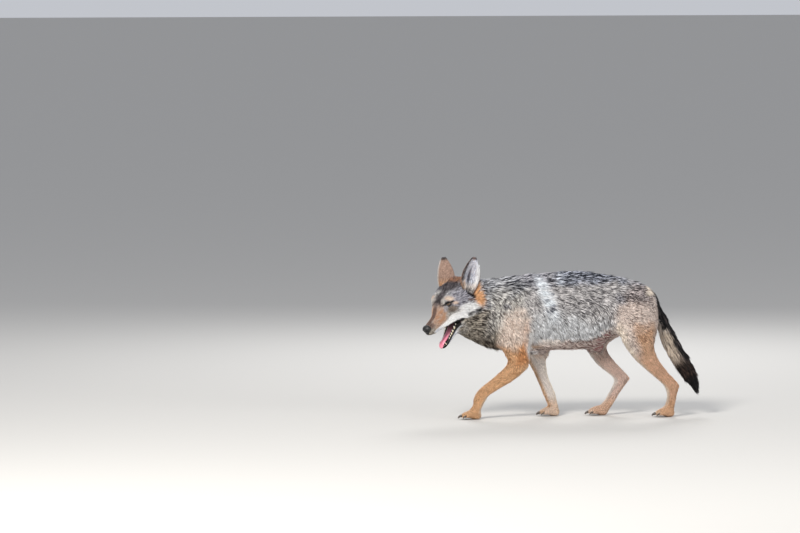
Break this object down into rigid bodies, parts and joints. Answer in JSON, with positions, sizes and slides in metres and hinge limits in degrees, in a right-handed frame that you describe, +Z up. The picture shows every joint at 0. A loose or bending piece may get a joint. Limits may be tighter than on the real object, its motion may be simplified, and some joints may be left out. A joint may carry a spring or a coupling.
{
  "type": "wolf",
  "caption": "Life-size adult wolf in thin summer coat, standing in mid-stride with its head turned, mouth open and tail hanging, as a still display model.",
  "frame": {"origin": "on the floor under the middle of the wolf's bounding box", "axes": "+Z up, -X the way the body walks, -Y out of the wolf's left side"},
  "size_m": [1.1834, 0.2674, 0.6823],
  "materials": {
    "coat": "grizzled grey and tan fur",
    "leg": "short tawny fur",
    "tail": "long fur, dark above and at the tip",
    "jaw": "short pale fur with black lips and small white teeth",
    "ear": "short brown fur outside, pale tufts inside",
    "nose": "moist fine-grained black skin",
    "tongue": "wet pink flesh",
    "eye": "polished, dark amber",
    "claw": "dark horn"
  },
  "bodies": {
    "root": {"trunk": "coat", "neck": "coat", "tail": "tail", "fore_left_upper": "coat", "fore_left_lower": "leg", "fore_left_claw_1": "claw", "fore_left_claw_2": "claw", "fore_left_claw_3": "claw", "fore_left_claw_4": "claw", "fore_left_paw": "leg", "fore_right_upper": "coat", "fore_right_lower": "leg", "fore_right_claw_1": "claw", "fore_right_claw_2": "claw", "fore_right_claw_3": "claw", "fore_right_claw_4": "claw", "fore_right_paw": "leg", "hind_left_upper": "coat", "hind_left_lower": "leg", "hind_left_claw_1": "claw", "hind_left_claw_2": "claw", "hind_left_claw_3": "claw", "hind_left_claw_4": "claw", "hind_left_paw": "leg", "hind_right_upper": "coat", "hind_right_lower": "leg", "hind_right_claw_1": "claw", "hind_right_claw_2": "claw", "hind_right_claw_3": "claw", "hind_right_claw_4": "claw", "hind_right_paw": "leg", "tongue": "tongue", "jaw": "jaw", "nose": "nose", "eye_left": "eye", "ear_left": "ear", "eye_right": "eye", "ear_right": "ear", "head": "coat"}
  },
  "joints": []
}
